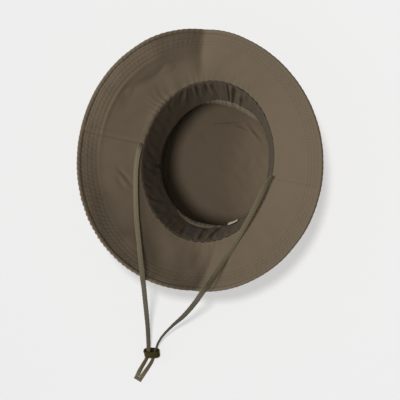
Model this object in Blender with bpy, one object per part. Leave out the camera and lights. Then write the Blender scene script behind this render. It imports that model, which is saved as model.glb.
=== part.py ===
"""A boonie hat lying upside down on its flat crown tip, with its chin strap over the front of the brim.

Metres, +Z up out of the head opening, +Y to the back of the hat and -Y to its front. Run this file
with Blender 4.5, from the command line or from the text editor. Each sub-part is one named object.
"""

from math import copysign, cos, exp, hypot, pi, radians, sin, tau

import bmesh
import bpy
from mathutils import Matrix, Vector

# Crown: an oval bowl between its flat tip, which lies on the floor, and the head opening.
OPENING_HALF = (0.0810, 0.0975)  # half width and half length, for a head of about 58 cm
TIP_HALF = (0.0710, 0.0810)
CROWN_CENTRE = Vector((0.0054, 0.0020, 0.0))
CROWN_TURN = radians(6)  # the soft opening lies a little skew to the side seams
CROWN_DEPTH = 0.0875
WALL_PROFILE = (  # share of the way from the tip's outline to the opening's, and height
    (0.00, 0.0009),
    (0.20, 0.0022),
    (0.36, 0.0055),
    (0.48, 0.0115),
    (0.60, 0.0260),
    (0.74, 0.0460),
    (0.88, 0.0670),
    (1.00, CROWN_DEPTH),
)

# Brim: a slack ring that stands up and outwards from the opening, flatter on its left side. It was
# once folded flat along its length, and still dips along that fold at front and back.
BRIM_CENTRE = Vector((-0.0026, 0.0005, 0.0))
BRIM_RADIUS = 0.1508
BRIM_SHIFT = 0.0022  # the outline leans away from this direction
BRIM_SHIFT_DIRECTION = radians(165)
BRIM_STRETCH = 0.0035  # and is a little longer across this diagonal
BRIM_STRETCH_DIRECTION = radians(128)
BRIM_RISE = 0.050  # edge above the opening
BRIM_DROOP = 0.030  # how much less it rises where it lies flattest
BRIM_DROOP_DIRECTION = radians(175)
BRIM_INNER_GAP = 0.0012
BRIM_START_HEIGHT = CROWN_DEPTH + 0.0007
BRIM_ROWS = (0.0, 0.2, 0.4, 0.6, 0.8, 1.0)
FOLDS = (  # angle at the opening, at the edge, depth at the edge, spread before and after it
    (radians(111), radians(102), 0.020, radians(26), radians(16)),
    (radians(294), radians(285), 0.022, radians(15), radians(27)),
)
FOLD_ROUNDING = radians(4)

# Fabric and the gap between pieces that are sewn face to face.
CLOTH = 0.0005
WALL_CLOTH = 0.0006
GAP = 0.0003

# Sweatband: hangs inside the opening, its free edge leaning in from the crown wall.
SWEATBAND_WIDTH_DOWN = 0.0330
SWEATBAND_CLOTH = 0.0007
SWEATBAND_EDGE_HALF = (0.0680, 0.0770)
SWEATBAND_EDGE_CENTRE = CROWN_CENTRE + Vector((0.0035, 0.0, 0.0))
SWEATBAND_ROWS = (0.0, 0.2, 0.6, 1.0)

# Outer band, vents and bound seams.
HAT_BAND_HEIGHTS = (0.060, 0.067, 0.081)
HAT_BAND_CLOTH = 0.0008
TIP_TAPE_IN = 0.0060
TIP_TAPE_OUT = 0.0015
EYELET_HEIGHT = 0.0400
EYELET_STEPS = 2.5  # facets between each vent and its side seam, so that it sits on one facet
EYELET_BORE = 0.0019
EYELET_BARREL = 0.0026
EYELET_HOLE = 0.0030
EYELET_FLANGE = 0.0043
EYELET_LIP = 0.0005  # thickness of each flange
EYELET_GAP = 0.0004  # between a flange and the cloth
EYELET_CUTTER_DEPTH = 0.0120
BINDING_WIDTH = 0.0040
BINDING_CLOTH = 0.0005

# Chin strap: a flat tape, drawn here as a plain tube, and the slider that both strands run through.
STRAP_RADIUS = 0.0016
STRAND_SPACING = 0.0075
TAIL_SPACING = 0.0050
STRAP_LEFT = (
    (-0.0786, 0.0024, 0.0911),
    (-0.0788, -0.0083, 0.0916),
    (-0.0777, -0.0205, 0.0919),
    (-0.0751, -0.0341, 0.0924),
    (-0.0698, -0.0532, 0.0937),
    (-0.0635, -0.0719, 0.0966),
    (-0.0562, -0.0900, 0.1014),
    (-0.0474, -0.1082, 0.1089),
    (-0.0394, -0.1227, 0.1180),
    (-0.0341, -0.1315, 0.1250),
    (-0.0299, -0.1381, 0.1305),
    (-0.0272, -0.1425, 0.1333),
    (-0.0253, -0.1468, 0.1344),
    (-0.0240, -0.1510, 0.1336),
    (-0.0232, -0.1550, 0.1306),
    (-0.0230, -0.1591, 0.1248),
    (-0.0233, -0.1653, 0.1139),
    (-0.0239, -0.1733, 0.0995),
    (-0.0247, -0.1850, 0.0785),
    (-0.0253, -0.1990, 0.0550),
    (-0.0243, -0.2188, 0.0300),
    (-0.0218, -0.2360, 0.0175),
    (-0.0205, -0.2462, 0.0111),
    (-0.0210, -0.2503, 0.0080),
)
STRAP_RIGHT = (
    (0.0874, 0.0045, 0.0907),
    (0.0839, -0.0027, 0.0912),
    (0.0812, -0.0109, 0.0914),
    (0.0787, -0.0233, 0.0914),
    (0.0753, -0.0403, 0.0915),
    (0.0710, -0.0588, 0.0926),
    (0.0659, -0.0788, 0.0950),
    (0.0607, -0.0980, 0.0996),
    (0.0568, -0.1120, 0.1056),
    (0.0537, -0.1240, 0.1115),
    (0.0511, -0.1344, 0.1178),
    (0.0494, -0.1400, 0.1210),
    (0.0479, -0.1445, 0.1223),
    (0.0462, -0.1487, 0.1214),
    (0.0444, -0.1524, 0.1184),
    (0.0422, -0.1563, 0.1125),
    (0.0392, -0.1613, 0.1039),
    (0.0347, -0.1682, 0.0924),
    (0.0287, -0.1771, 0.0780),
    (0.0192, -0.1899, 0.0580),
    (0.0068, -0.2052, 0.0395),
    (-0.0036, -0.2205, 0.0260),
    (-0.0094, -0.2332, 0.0170),
    (-0.0114, -0.2441, 0.0112),
    (-0.0122, -0.2479, 0.0082),
)
TAIL_LEFT = (
    (-0.0212, -0.2511, 0.0074),
    (-0.0210, -0.2547, 0.0048),
    (-0.0220, -0.2601, 0.0027),
    (-0.0240, -0.2671, 0.0020),
    (-0.0262, -0.2751, 0.0020),
    (-0.0278, -0.2830, 0.0020),
)
TAIL_RIGHT = (
    (-0.0124, -0.2486, 0.0074),
    (-0.0131, -0.2525, 0.0048),
    (-0.0138, -0.2581, 0.0027),
    (-0.0154, -0.2646, 0.0020),
    (-0.0186, -0.2736, 0.0020),
    (-0.0225, -0.2844, 0.0020),
)
SLIDER_CENTRE = Vector((-0.0158, -0.2493, 0.0078))
SLIDER_TILT = radians(40)  # the mouth looks up towards the hat
SLIDER_TURN = radians(15)
SLIDER_SQUARENESS = 0.75
SLIDER_OUTSIDE = (  # height along the bore, half width and half thickness
    (-0.0050, 0.0094, 0.0043),
    (-0.0044, 0.0102, 0.0050),
    (0.0002, 0.0103, 0.0051),
    (0.0007, 0.0095, 0.0044),
    (0.0017, 0.0095, 0.0044),
    (0.0022, 0.0105, 0.0052),
    (0.0044, 0.0105, 0.0052),
    (0.0050, 0.0099, 0.0047),
)
SLIDER_BORE = (
    (0.0050, 0.0088, 0.0036),
    (0.0040, 0.0083, 0.0031),
    (-0.0040, 0.0083, 0.0031),
    (-0.0050, 0.0088, 0.0036),
)
TACK_SIZE = (0.0108, 0.0046, 0.0022)
TACK_CENTRE = Vector((-0.0258, -0.2864, 0.0016))

STEPS = 48  # facets round the hat
FRONT = (pi, pi)  # start and sweep of each half
BACK = (0.0, pi)
ROUND = (0.0, tau)


def clear_scene():
    for thing in list(bpy.data.objects):
        bpy.data.objects.remove(thing, do_unlink=True)


def finish(name, colour, roughness, metallic=0.0):
    """A material for one slot of the record."""
    material = bpy.data.materials.new(name)
    material.use_nodes = True
    shader = material.node_tree.nodes["Principled BSDF"]
    shader.inputs["Base Color"].default_value = (*colour, 1.0)
    shader.inputs["Roughness"].default_value = roughness
    shader.inputs["Metallic"].default_value = metallic
    material.diffuse_color = (*colour, 1.0)
    return material


def add_object(name, mesh, material):
    thing = bpy.data.objects.new(name, mesh)
    bpy.context.scene.collection.objects.link(thing)
    mesh.materials.append(material)
    return thing


def add_bmesh(name, shape, material, sharp=radians(40)):
    bmesh.ops.recalc_face_normals(shape, faces=shape.faces)
    mesh = bpy.data.meshes.new(name)
    shape.to_mesh(mesh)
    shape.free()
    mesh.shade_smooth()
    mesh.set_sharp_from_angle(angle=sharp)
    return add_object(name, mesh, material)


def oval(half, angle, height, centre=CROWN_CENTRE):
    """A point on a level oval; angle 0 is the right side seam and a quarter turn is the centre back."""
    level = Vector((half[0] * cos(angle - CROWN_TURN), half[1] * sin(angle - CROWN_TURN), height))
    return centre + Matrix.Rotation(CROWN_TURN, 3, "Z") @ level


def between(low, high, share):
    return [a + (b - a) * share for a, b in zip(low, high)]


def wall_at(angle, height):
    """The inner face of the crown wall at this height."""
    for (share_a, height_a), (share_b, height_b) in zip(WALL_PROFILE, WALL_PROFILE[1:]):
        if height <= height_b:
            break
    share = share_a + (share_b - share_a) * (height - height_a) / (height_b - height_a)
    return oval(between(TIP_HALF, OPENING_HALF, share), angle, height)


def brim_at(angle, share):
    """The underside of the brim as worn, which is its upper face here, from the opening to the edge."""
    inner_half = [half + BRIM_INNER_GAP for half in OPENING_HALF]
    inner = oval(inner_half, angle, BRIM_START_HEIGHT)
    radius = (
        BRIM_RADIUS
        - BRIM_SHIFT * cos(angle - BRIM_SHIFT_DIRECTION)
        + BRIM_STRETCH * cos(2 * (angle - BRIM_STRETCH_DIRECTION))
    )
    edge = BRIM_CENTRE + radius * Vector((cos(angle), sin(angle), 0.0))
    point = inner.lerp(edge, share)
    droop = BRIM_DROOP * (0.5 + 0.5 * cos(angle - BRIM_DROOP_DIRECTION)) ** 4
    point.z = BRIM_START_HEIGHT + (BRIM_RISE - droop) * (0.75 * share + 0.25 * share**2)
    for at_opening, at_edge, depth, before, after in FOLDS:
        turn = angle - at_opening - (at_edge - at_opening) * share
        off = (turn + pi) % tau - pi
        away = hypot(off, FOLD_ROUNDING) - FOLD_ROUNDING
        point.z -= depth * share * exp(-away / (before if off < 0 else after))
    return point


def sweatband_at(angle, share):
    """The outer face of the sweatband, from its free edge up to the seam in the opening."""
    seam = oval([half - 0.0006 for half in OPENING_HALF], angle, CROWN_DEPTH)
    free = oval(
        SWEATBAND_EDGE_HALF, angle, CROWN_DEPTH - SWEATBAND_WIDTH_DOWN, SWEATBAND_EDGE_CENTRE
    )
    return free.lerp(seam, share)


def tip_tape_at(angle, share):
    inner = oval([half - TIP_TAPE_IN for half in TIP_HALF], angle, 0.0010)
    outer = oval([half + TIP_TAPE_OUT for half in TIP_HALF], angle, 0.0025)
    return inner.lerp(outer, share)


def normals_of(surface, angle, rows):
    """The outward normal of the surface at each row, square to the rows on both sides of it."""
    turn = radians(0.5)
    found = []
    for k, row in enumerate(rows):
        around = surface(angle + turn, row) - surface(angle - turn, row)
        before = surface(angle, rows[max(k - 1, 0)])
        after = surface(angle, rows[min(k + 1, len(rows) - 1)])
        found.append(around.cross(after - before).normalized())
    return found


def sheet(name, material, surface, rows, low, high, sweep=ROUND):
    """A closed layer of cloth that follows a surface, between two distances along its normal.

    Both faces are cut into triangles along the same diagonals, so that layers sewn together stay an
    even gap apart. A sweep that isn't the whole way round stops half a gap short of each end.
    """
    start, turn = sweep
    whole = turn == tau
    steps = max(2, round(STEPS * turn / tau))
    trim = 0.0 if whole else GAP / (2 * OPENING_HALF[0])
    shape = bmesh.new()
    faces = []
    for k in range(steps if whole else steps + 1):
        angle = start + trim + (turn - 2 * trim) * k / steps
        normals = normals_of(surface, angle, rows)
        points = [surface(angle, row) for row in rows]
        inner = [shape.verts.new(p + n * low) for p, n in zip(points, normals)]
        outer = [shape.verts.new(p + n * high) for p, n in zip(points, normals)]
        faces.append(inner + outer[::-1])
    rings = faces + faces[:1] if whole else faces
    count = 2 * len(rows)
    for first, second in zip(rings, rings[1:]):
        for i in range(count):
            j = (i + 1) % count
            if i < len(rows):
                halves = ((first[i], first[j], second[j]), (first[i], second[j], second[i]))
            else:
                halves = ((first[i], first[j], second[i]), (first[j], second[j], second[i]))
            for half in halves:
                shape.faces.new(half)
    if not whole:
        for end in (faces[0], faces[-1]):
            for i in range(len(rows) - 1):
                shape.faces.new((end[i], end[i + 1], end[count - 2 - i], end[count - 1 - i]))
    return add_bmesh(name, shape, material)


def add_brim(cloth, stiffener, tape):
    layers = (
        ("brim_lower", cloth, 0.0),
        ("brim_interlining", stiffener, CLOTH + GAP),
        ("brim_upper", cloth, 2 * (CLOTH + GAP)),
    )
    for name, material, low in layers:
        for half, sweep in (("front", FRONT), ("back", BACK)):
            sheet(f"{name}_{half}", material, brim_at, BRIM_ROWS, low, low + CLOTH, sweep)
    add_binding(tape)


def add_binding(tape):
    """A folded tape with a channel that the edges of all three brim layers sit in."""
    stack = 3 * CLOTH + 2 * GAP
    outer_low = -GAP - BINDING_CLOTH
    outer_high = stack + GAP + BINDING_CLOTH
    section = (
        (-BINDING_WIDTH, outer_low),
        (GAP + BINDING_CLOTH, outer_low),
        (GAP + BINDING_CLOTH, outer_high),
        (-BINDING_WIDTH, outer_high),
        (-BINDING_WIDTH, stack + GAP),
        (GAP, stack + GAP),
        (GAP, -GAP),
        (-BINDING_WIDTH, -GAP),
    )
    shape = bmesh.new()
    rings = []
    for k in range(STEPS):
        angle = tau * k / STEPS
        edge = brim_at(angle, BRIM_ROWS[-1])
        outward = (edge - brim_at(angle, BRIM_ROWS[-2])).normalized()
        normal = normals_of(brim_at, angle, BRIM_ROWS)[-1]
        rings.append([shape.verts.new(edge + outward * x + normal * y) for x, y in section])
    count = len(section)
    for k in range(STEPS):
        first, second = rings[k], rings[(k + 1) % STEPS]
        for i in range(count):
            j = (i + 1) % count
            shape.faces.new((first[i], first[j], second[j], second[i]))
    add_bmesh("brim_edge_binding", shape, tape)


def add_crown(cloth, tape, webbing):
    shape = bmesh.new()
    rim = [oval([half - GAP for half in TIP_HALF], tau * k / STEPS, 0.0) for k in range(STEPS)]
    face = shape.faces.new([shape.verts.new(point) for point in rim])
    raised = bmesh.ops.extrude_face_region(shape, geom=[face])["geom"]
    lifted = [item for item in raised if isinstance(item, bmesh.types.BMVert)]
    bmesh.ops.translate(shape, verts=lifted, vec=(0.0, 0.0, WALL_CLOTH))
    add_bmesh("crown_tip", shape, cloth)
    heights = [height for _, height in WALL_PROFILE]
    sides = {
        half: sheet(f"crown_side_{half}", cloth, wall_at, heights, 0.0, WALL_CLOTH, sweep)
        for half, sweep in (("front", FRONT), ("back", BACK))
    }
    sheet("tip_seam_tape", tape, tip_tape_at, (0.0, 1.0), -CLOTH, 0.0)
    band_low = WALL_CLOTH + GAP
    sheet("hat_band", webbing, wall_at, HAT_BAND_HEIGHTS, band_low, band_low + HAT_BAND_CLOTH)
    return sides


def lathe(name, section, material, steps=16):
    """A ring turned about local Z from a closed outline of (radius, height)."""
    shape = bmesh.new()
    rings = []
    for k in range(steps):
        turn = tau * k / steps
        rings.append([shape.verts.new((r * cos(turn), r * sin(turn), z)) for r, z in section])
    count = len(section)
    for k in range(steps):
        first, second = rings[k], rings[(k + 1) % steps]
        for i in range(count):
            j = (i + 1) % count
            shape.faces.new((first[i], first[j], second[j], second[i]))
    return add_bmesh(name, shape, material)


def add_eyelets(brass, sides):
    """Four vents: each is a flanged barrel through its own hole in the crown wall."""
    inner_face = -EYELET_GAP
    outer_face = WALL_CLOTH + EYELET_GAP
    section = (
        (EYELET_BORE, inner_face - EYELET_LIP),
        (EYELET_FLANGE, inner_face - EYELET_LIP),
        (EYELET_FLANGE, inner_face),
        (EYELET_BARREL, inner_face),
        (EYELET_BARREL, outer_face),
        (EYELET_FLANGE, outer_face),
        (EYELET_FLANGE, outer_face + EYELET_LIP),
        (EYELET_BORE, outer_face + EYELET_LIP),
    )
    step = EYELET_STEPS * tau / STEPS
    places = (
        ("vent_right_back", step, "back"),
        ("vent_left_back", pi - step, "back"),
        ("vent_left_front", pi + step, "front"),
        ("vent_right_front", tau - step, "front"),
    )
    for name, angle, half in places:
        point = wall_at(angle, EYELET_HEIGHT)
        rows = (EYELET_HEIGHT - EYELET_FLANGE, EYELET_HEIGHT, EYELET_HEIGHT + EYELET_FLANGE)
        normal = normals_of(wall_at, angle, rows)[1]
        facing = normal.to_track_quat("Z", "Y")
        eyelet = lathe(name, section, brass)
        bpy.ops.mesh.primitive_cylinder_add(
            vertices=16, radius=EYELET_HOLE, depth=EYELET_CUTTER_DEPTH
        )
        cutter = bpy.context.object
        cutter.name = f"{name}_hole"
        cutter.hide_render = True
        cutter.display_type = "WIRE"
        for thing in (eyelet, cutter):
            thing.rotation_mode = "QUATERNION"
            thing.rotation_quaternion = facing
            thing.location = point
        hole = sides[half].modifiers.new(f"{name}_hole", "BOOLEAN")
        hole.operation = "DIFFERENCE"
        hole.object = cutter


def add_sweatband(twill, tape, label_cloth, pale_cloth):
    inner = -SWEATBAND_CLOTH - GAP
    sheet("sweatband", twill, sweatband_at, SWEATBAND_ROWS, -SWEATBAND_CLOTH, 0.0)
    sheet("sweatband_edge_tape", tape, sweatband_at, (0.0, 0.2), inner - CLOTH, inner)
    pieces = (
        ("sweatband_join", twill, (0.23, 0.6, 0.96), 12.0, 1.0),
        ("size_label", label_cloth, (0.28, 0.6, 0.90), 35.0, 2.0),
    )
    for name, material, rows, first_step, width in pieces:
        sweep = (first_step * tau / STEPS, width * tau / STEPS)
        sheet(name, material, sweatband_at, rows, inner - CLOTH, inner, sweep)
    tab_face = inner - CLOTH - GAP
    tab_sweep = (40.0 * tau / STEPS, 1.5 * tau / STEPS)
    sheet("care_tab", pale_cloth, sweatband_at, (-0.12, 0.16), tab_face - CLOTH, tab_face, tab_sweep)


def smooth_route(points, spacing):
    """Evenly spaced points on a smooth curve through the route's own points."""
    places = [Vector(point) for point in points]
    places = [2 * places[0] - places[1], *places, 2 * places[-1] - places[-2]]
    fine = []
    for a, b, c, d in zip(places, places[1:], places[2:], places[3:]):
        for k in range(20):
            t = k / 20
            fine.append(
                0.5
                * (
                    2 * b
                    + (c - a) * t
                    + (2 * a - 5 * b + 4 * c - d) * t**2
                    + (3 * b - a - 3 * c + d) * t**3
                )
            )
    fine.append(places[-2])
    total = sum((q - p).length for p, q in zip(fine, fine[1:]))
    count = max(3, round(total / spacing))
    even = [fine[0]]
    walked = 0.0
    for p, q in zip(fine, fine[1:]):
        length = (q - p).length
        while len(even) < count and walked + length >= total * len(even) / count:
            even.append(p.lerp(q, (total * len(even) / count - walked) / length))
        walked += length
    return [*even, fine[-1]]


def add_cord(name, points, spacing, material):
    data = bpy.data.curves.new(name, "CURVE")
    data.dimensions = "3D"
    data.bevel_depth = STRAP_RADIUS
    data.bevel_resolution = 2
    data.use_fill_caps = True
    route = smooth_route(points, spacing)
    spline = data.splines.new("POLY")
    spline.points.add(len(route) - 1)
    for place, point in zip(spline.points, route):
        place.co = (*point, 1.0)
    thing = bpy.data.objects.new(name, data)
    bpy.context.scene.collection.objects.link(thing)
    data.materials.append(material)


def squared(value):
    """Pushes a cosine or sine outwards, so that a circle of them becomes a rounded rectangle."""
    return copysign(abs(value) ** SLIDER_SQUARENESS, value)


def add_slider(material, steps=24):
    """An oval barrel with a groove round it and a bore that holds both strands side by side."""
    shape = bmesh.new()
    section = SLIDER_OUTSIDE + SLIDER_BORE
    rings = []
    for k in range(steps):
        turn = tau * k / steps
        across = squared(cos(turn))
        deep = squared(sin(turn))
        rings.append([shape.verts.new((x * across, y * deep, z)) for z, x, y in section])
    for k in range(steps):
        first, second = rings[k], rings[(k + 1) % steps]
        for i in range(len(section)):
            j = (i + 1) % len(section)
            shape.faces.new((first[i], first[j], second[j], second[i]))
    slider = add_bmesh("strap_slider", shape, material, radians(50))
    upright = Matrix.Rotation(-(pi / 2 - SLIDER_TILT), 3, "X")
    turned = Matrix.Rotation(SLIDER_TURN, 3, "Z") @ upright
    slider.rotation_euler = turned.to_euler()
    slider.location = SLIDER_CENTRE


def add_tack(material):
    """The flat sewn end that holds the two tails side by side."""
    shape = bmesh.new()
    bmesh.ops.create_cube(shape, size=1.0)
    bmesh.ops.scale(shape, vec=TACK_SIZE, verts=shape.verts)
    bmesh.ops.bevel(shape, geom=shape.edges[:], offset=0.0004, segments=1, affect="EDGES")
    tack = add_bmesh("strap_end_tack", shape, material)
    tack.rotation_euler.z = SLIDER_TURN - radians(29)
    tack.location = TACK_CENTRE


def add_strap(tape, slider_material):
    add_cord("strap_left", STRAP_LEFT, STRAND_SPACING, tape)
    add_cord("strap_right", STRAP_RIGHT, STRAND_SPACING, tape)
    add_cord("strap_tail_left", TAIL_LEFT, TAIL_SPACING, tape)
    add_cord("strap_tail_right", TAIL_RIGHT, TAIL_SPACING, tape)
    add_slider(slider_material)
    add_tack(tape)


def main():
    clear_scene()
    cloth = finish("shell_cloth", (0.115, 0.085, 0.055), 0.85)
    stiffener = finish("interlining", (0.42, 0.40, 0.36), 0.9)
    twill = finish("sweatband_twill", (0.055, 0.045, 0.033), 0.8)
    tape = finish("binding_tape", (0.13, 0.10, 0.068), 0.8)
    webbing = finish("band_webbing", (0.10, 0.078, 0.052), 0.85)
    label_cloth = finish("label_cloth", (0.05, 0.042, 0.032), 0.7)
    pale_cloth = finish("pale_label", (0.60, 0.54, 0.42), 0.7)
    brass = finish("vent_metal", (0.16, 0.12, 0.07), 0.4, 1.0)
    strap_tape = finish("strap_tape", (0.155, 0.125, 0.085), 0.75)
    horn = finish("slider_plastic", (0.07, 0.055, 0.025), 0.35)
    sides = add_crown(cloth, tape, webbing)
    add_eyelets(brass, sides)
    add_sweatband(twill, tape, label_cloth, pale_cloth)
    add_brim(cloth, stiffener, tape)
    add_strap(strap_tape, horn)


main()
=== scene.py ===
"""Looks for the boonie hat that lies upside down on its crown tip, with its chin strap over the front brim.

Metres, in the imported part's frame: +Z up out of the head opening, +Y to the back of the hat. Every soft
piece is a dense mesh that follows the same surfaces as its solid, with its seams, quilting, puckers and
folds moved into the mesh. Shapes come first, then materials, then each piece, then the studio.
"""

from math import cos, pi, radians, sin, tan, tau

import bpy
import numpy as np
from mathutils import Matrix, Vector


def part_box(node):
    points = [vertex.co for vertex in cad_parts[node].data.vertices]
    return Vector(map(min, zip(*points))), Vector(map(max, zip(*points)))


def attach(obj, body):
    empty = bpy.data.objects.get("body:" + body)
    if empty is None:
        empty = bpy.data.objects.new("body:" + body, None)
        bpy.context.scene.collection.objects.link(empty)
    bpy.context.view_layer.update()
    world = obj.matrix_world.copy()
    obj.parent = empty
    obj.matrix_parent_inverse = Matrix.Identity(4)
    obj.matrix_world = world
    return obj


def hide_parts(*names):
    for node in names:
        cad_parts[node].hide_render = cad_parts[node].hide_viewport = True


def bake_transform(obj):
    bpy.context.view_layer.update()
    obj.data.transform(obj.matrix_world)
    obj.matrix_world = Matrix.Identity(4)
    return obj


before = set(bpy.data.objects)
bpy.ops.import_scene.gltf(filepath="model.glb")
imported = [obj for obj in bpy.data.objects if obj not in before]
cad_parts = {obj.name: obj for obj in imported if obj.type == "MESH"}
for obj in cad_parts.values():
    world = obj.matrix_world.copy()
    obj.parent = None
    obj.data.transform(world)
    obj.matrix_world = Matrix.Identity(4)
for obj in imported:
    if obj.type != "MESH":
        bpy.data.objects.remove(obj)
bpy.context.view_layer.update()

# ---- shapes shared with the solids

OPENING_HALF = np.array((0.0810, 0.0975))
TIP_HALF = np.array((0.0710, 0.0810))
CROWN_CENTRE = np.array((0.0054, 0.0020, 0.0))
CROWN_TURN = radians(6)
CROWN_DEPTH = 0.0875
WALL_SHARES = (0.0, 0.20, 0.36, 0.48, 0.60, 0.74, 0.88, 1.0)
WALL_HEIGHTS = (0.0009, 0.0022, 0.0055, 0.0115, 0.0260, 0.0460, 0.0670, CROWN_DEPTH)
WALL_CLOTH = 0.0006

BRIM_CENTRE = np.array((-0.0026, 0.0005))
BRIM_RADIUS = 0.1508
BRIM_SHIFT = 0.0022
BRIM_SHIFT_DIRECTION = radians(165)
BRIM_STRETCH = 0.0035
BRIM_STRETCH_DIRECTION = radians(128)
BRIM_RISE = 0.050
BRIM_DROOP = 0.030
BRIM_DROOP_DIRECTION = radians(175)
BRIM_INNER_GAP = 0.0012
BRIM_START_HEIGHT = CROWN_DEPTH + 0.0007
BRIM_CLOTH = 0.0021

SWEATBAND_WIDTH_DOWN = 0.0330
SWEATBAND_EDGE_HALF = np.array((0.0680, 0.0770))
SWEATBAND_EDGE_CENTRE = CROWN_CENTRE + np.array((0.0035, 0.0, 0.0))

STRAP_LEFT = (
    (-0.0786, 0.0024, 0.0911), (-0.0788, -0.0083, 0.0916), (-0.0777, -0.0205, 0.0919),
    (-0.0751, -0.0341, 0.0924), (-0.0698, -0.0532, 0.0937), (-0.0635, -0.0719, 0.0966),
    (-0.0562, -0.0900, 0.1014), (-0.0474, -0.1082, 0.1089), (-0.0394, -0.1227, 0.1180),
    (-0.0341, -0.1315, 0.1250), (-0.0299, -0.1381, 0.1305), (-0.0272, -0.1425, 0.1333),
    (-0.0253, -0.1468, 0.1344), (-0.0240, -0.1510, 0.1336), (-0.0232, -0.1550, 0.1306),
    (-0.0230, -0.1591, 0.1248), (-0.0233, -0.1653, 0.1139), (-0.0239, -0.1733, 0.0995),
    (-0.0247, -0.1850, 0.0785), (-0.0253, -0.1990, 0.0550), (-0.0243, -0.2188, 0.0300),
    (-0.0218, -0.2360, 0.0175), (-0.0205, -0.2462, 0.0111), (-0.0210, -0.2503, 0.0080),
)
STRAP_RIGHT = (
    (0.0874, 0.0045, 0.0907), (0.0839, -0.0027, 0.0912), (0.0812, -0.0109, 0.0914),
    (0.0787, -0.0233, 0.0914), (0.0753, -0.0403, 0.0915), (0.0710, -0.0588, 0.0926),
    (0.0659, -0.0788, 0.0950), (0.0607, -0.0980, 0.0996), (0.0568, -0.1120, 0.1056),
    (0.0537, -0.1240, 0.1115), (0.0511, -0.1344, 0.1178), (0.0494, -0.1400, 0.1210),
    (0.0479, -0.1445, 0.1223), (0.0462, -0.1487, 0.1214), (0.0444, -0.1524, 0.1184),
    (0.0422, -0.1563, 0.1125), (0.0392, -0.1613, 0.1039), (0.0347, -0.1682, 0.0924),
    (0.0287, -0.1771, 0.0780), (0.0192, -0.1899, 0.0580), (0.0068, -0.2052, 0.0395),
    (-0.0036, -0.2205, 0.0260), (-0.0094, -0.2332, 0.0170), (-0.0114, -0.2441, 0.0112),
    (-0.0122, -0.2479, 0.0082),
)
TAIL_LEFT = (
    (-0.0212, -0.2511, 0.0074), (-0.0210, -0.2547, 0.0048), (-0.0220, -0.2601, 0.0027),
    (-0.0240, -0.2671, 0.0020), (-0.0262, -0.2751, 0.0020), (-0.0278, -0.2830, 0.0020),
)
TAIL_RIGHT = (
    (-0.0124, -0.2486, 0.0074), (-0.0131, -0.2525, 0.0048), (-0.0138, -0.2581, 0.0027),
    (-0.0154, -0.2646, 0.0020), (-0.0186, -0.2736, 0.0020), (-0.0225, -0.2844, 0.0020),
)
SLIDER_CENTRE = np.array((-0.0158, -0.2493, 0.0078))
SLIDER_TILT = radians(40)
SLIDER_TURN = radians(15)
TACK_CENTRE = np.array((-0.0258, -0.2864, 0.0016))
TACK_TURN = SLIDER_TURN - radians(29)

STRAP_WIDTH = 0.0066
TAIL_WIDTH = 0.0056
STRAP_THICKNESS = 0.0014
STRAP_LIE = 0.0009  # how much lower than its route the tape lies on the brim

# Radii that turn an angle into a length of cloth round the hat.
HEAD_RADIUS = 0.085
QUILTING_RADIUS = 0.148
EDGE_RADIUS = 0.151


def grid(first, second):
    """Both sets of values on a grid, (first, second)."""
    return np.meshgrid(first, second, indexing="ij")


def joined(*parts):
    """One array from coordinates, which broadcast together; the last axis tells them apart."""
    return np.stack(np.broadcast_arrays(*parts), axis=-1)


def oval(half, angle, height, centre=CROWN_CENTRE):
    """Points on a level oval; half is (half width, half length), each a number or an array."""
    across = half[0] * np.cos(angle - CROWN_TURN)
    along = half[1] * np.sin(angle - CROWN_TURN)
    x = centre[0] + across * cos(CROWN_TURN) - along * sin(CROWN_TURN)
    y = centre[1] + across * sin(CROWN_TURN) + along * cos(CROWN_TURN)
    return joined(x, y, height)


def wall_at(angle, height):
    """The crown's wall, which widens from the tip's oval to the head opening's."""
    share = np.interp(height, WALL_HEIGHTS, WALL_SHARES)
    half = [a + (b - a) * share for a, b in zip(TIP_HALF, OPENING_HALF)]
    return oval(half, angle, height)


def turn_between(angle, other):
    """The signed angle from other to angle, between minus and plus half a turn."""
    return (angle - other + pi) % tau - pi


def bell(value, width):
    return np.exp(-((value / width) ** 2))


def squared(value, power):
    """A sine or cosine pushed out towards 1 or -1, which squares a circle up."""
    return np.sign(value) * np.abs(value) ** power


def unit(vectors):
    return vectors / np.maximum(np.linalg.norm(vectors, axis=-1, keepdims=True), 1e-12)


def lengths_along(points):
    """How far along a line of points each one lies, from 0 at the first."""
    return np.concatenate(([0], np.cumsum(np.linalg.norm(np.diff(points, axis=0), axis=1))))


def near_angle(angle, centre, spread):
    """1 at this many degrees round the hat, falling to 0 over the spread."""
    return bell(turn_between(angle, radians(centre)), radians(spread))


# The brim was once folded flat along its length, and still dips along that fold at back and front. The
# last two dips are narrow and lie in the first two, so that each fold ends in a sharp line.
FOLDS = (  # degrees round at the opening and at the edge, depth at the edge, spread before and after it
    (111, 102, 0.020, 26, 16),
    (294, 285, 0.022, 15, 27),
    (111, 102, 0.009, 9, 12),
    (294, 285, 0.007, 10, 9),
)
FOLD_ROUNDING = radians(1.2)
BRIM_SWELLS = (  # degrees round, spread, height, share of the way out, spread of that share
    (148, 26, 0.0070, 0.70, 0.36),
    (213, 18, -0.0030, 0.66, 0.24),
)
BRIM_RIDGES = ((126, 8, 0.0034), (270, 8, 0.0025))  # degrees round, spread, height at the edge
BRIM_BULGE = (104, 20, 0.0030)  # degrees round, spread, how much further out the edge lies


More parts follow.
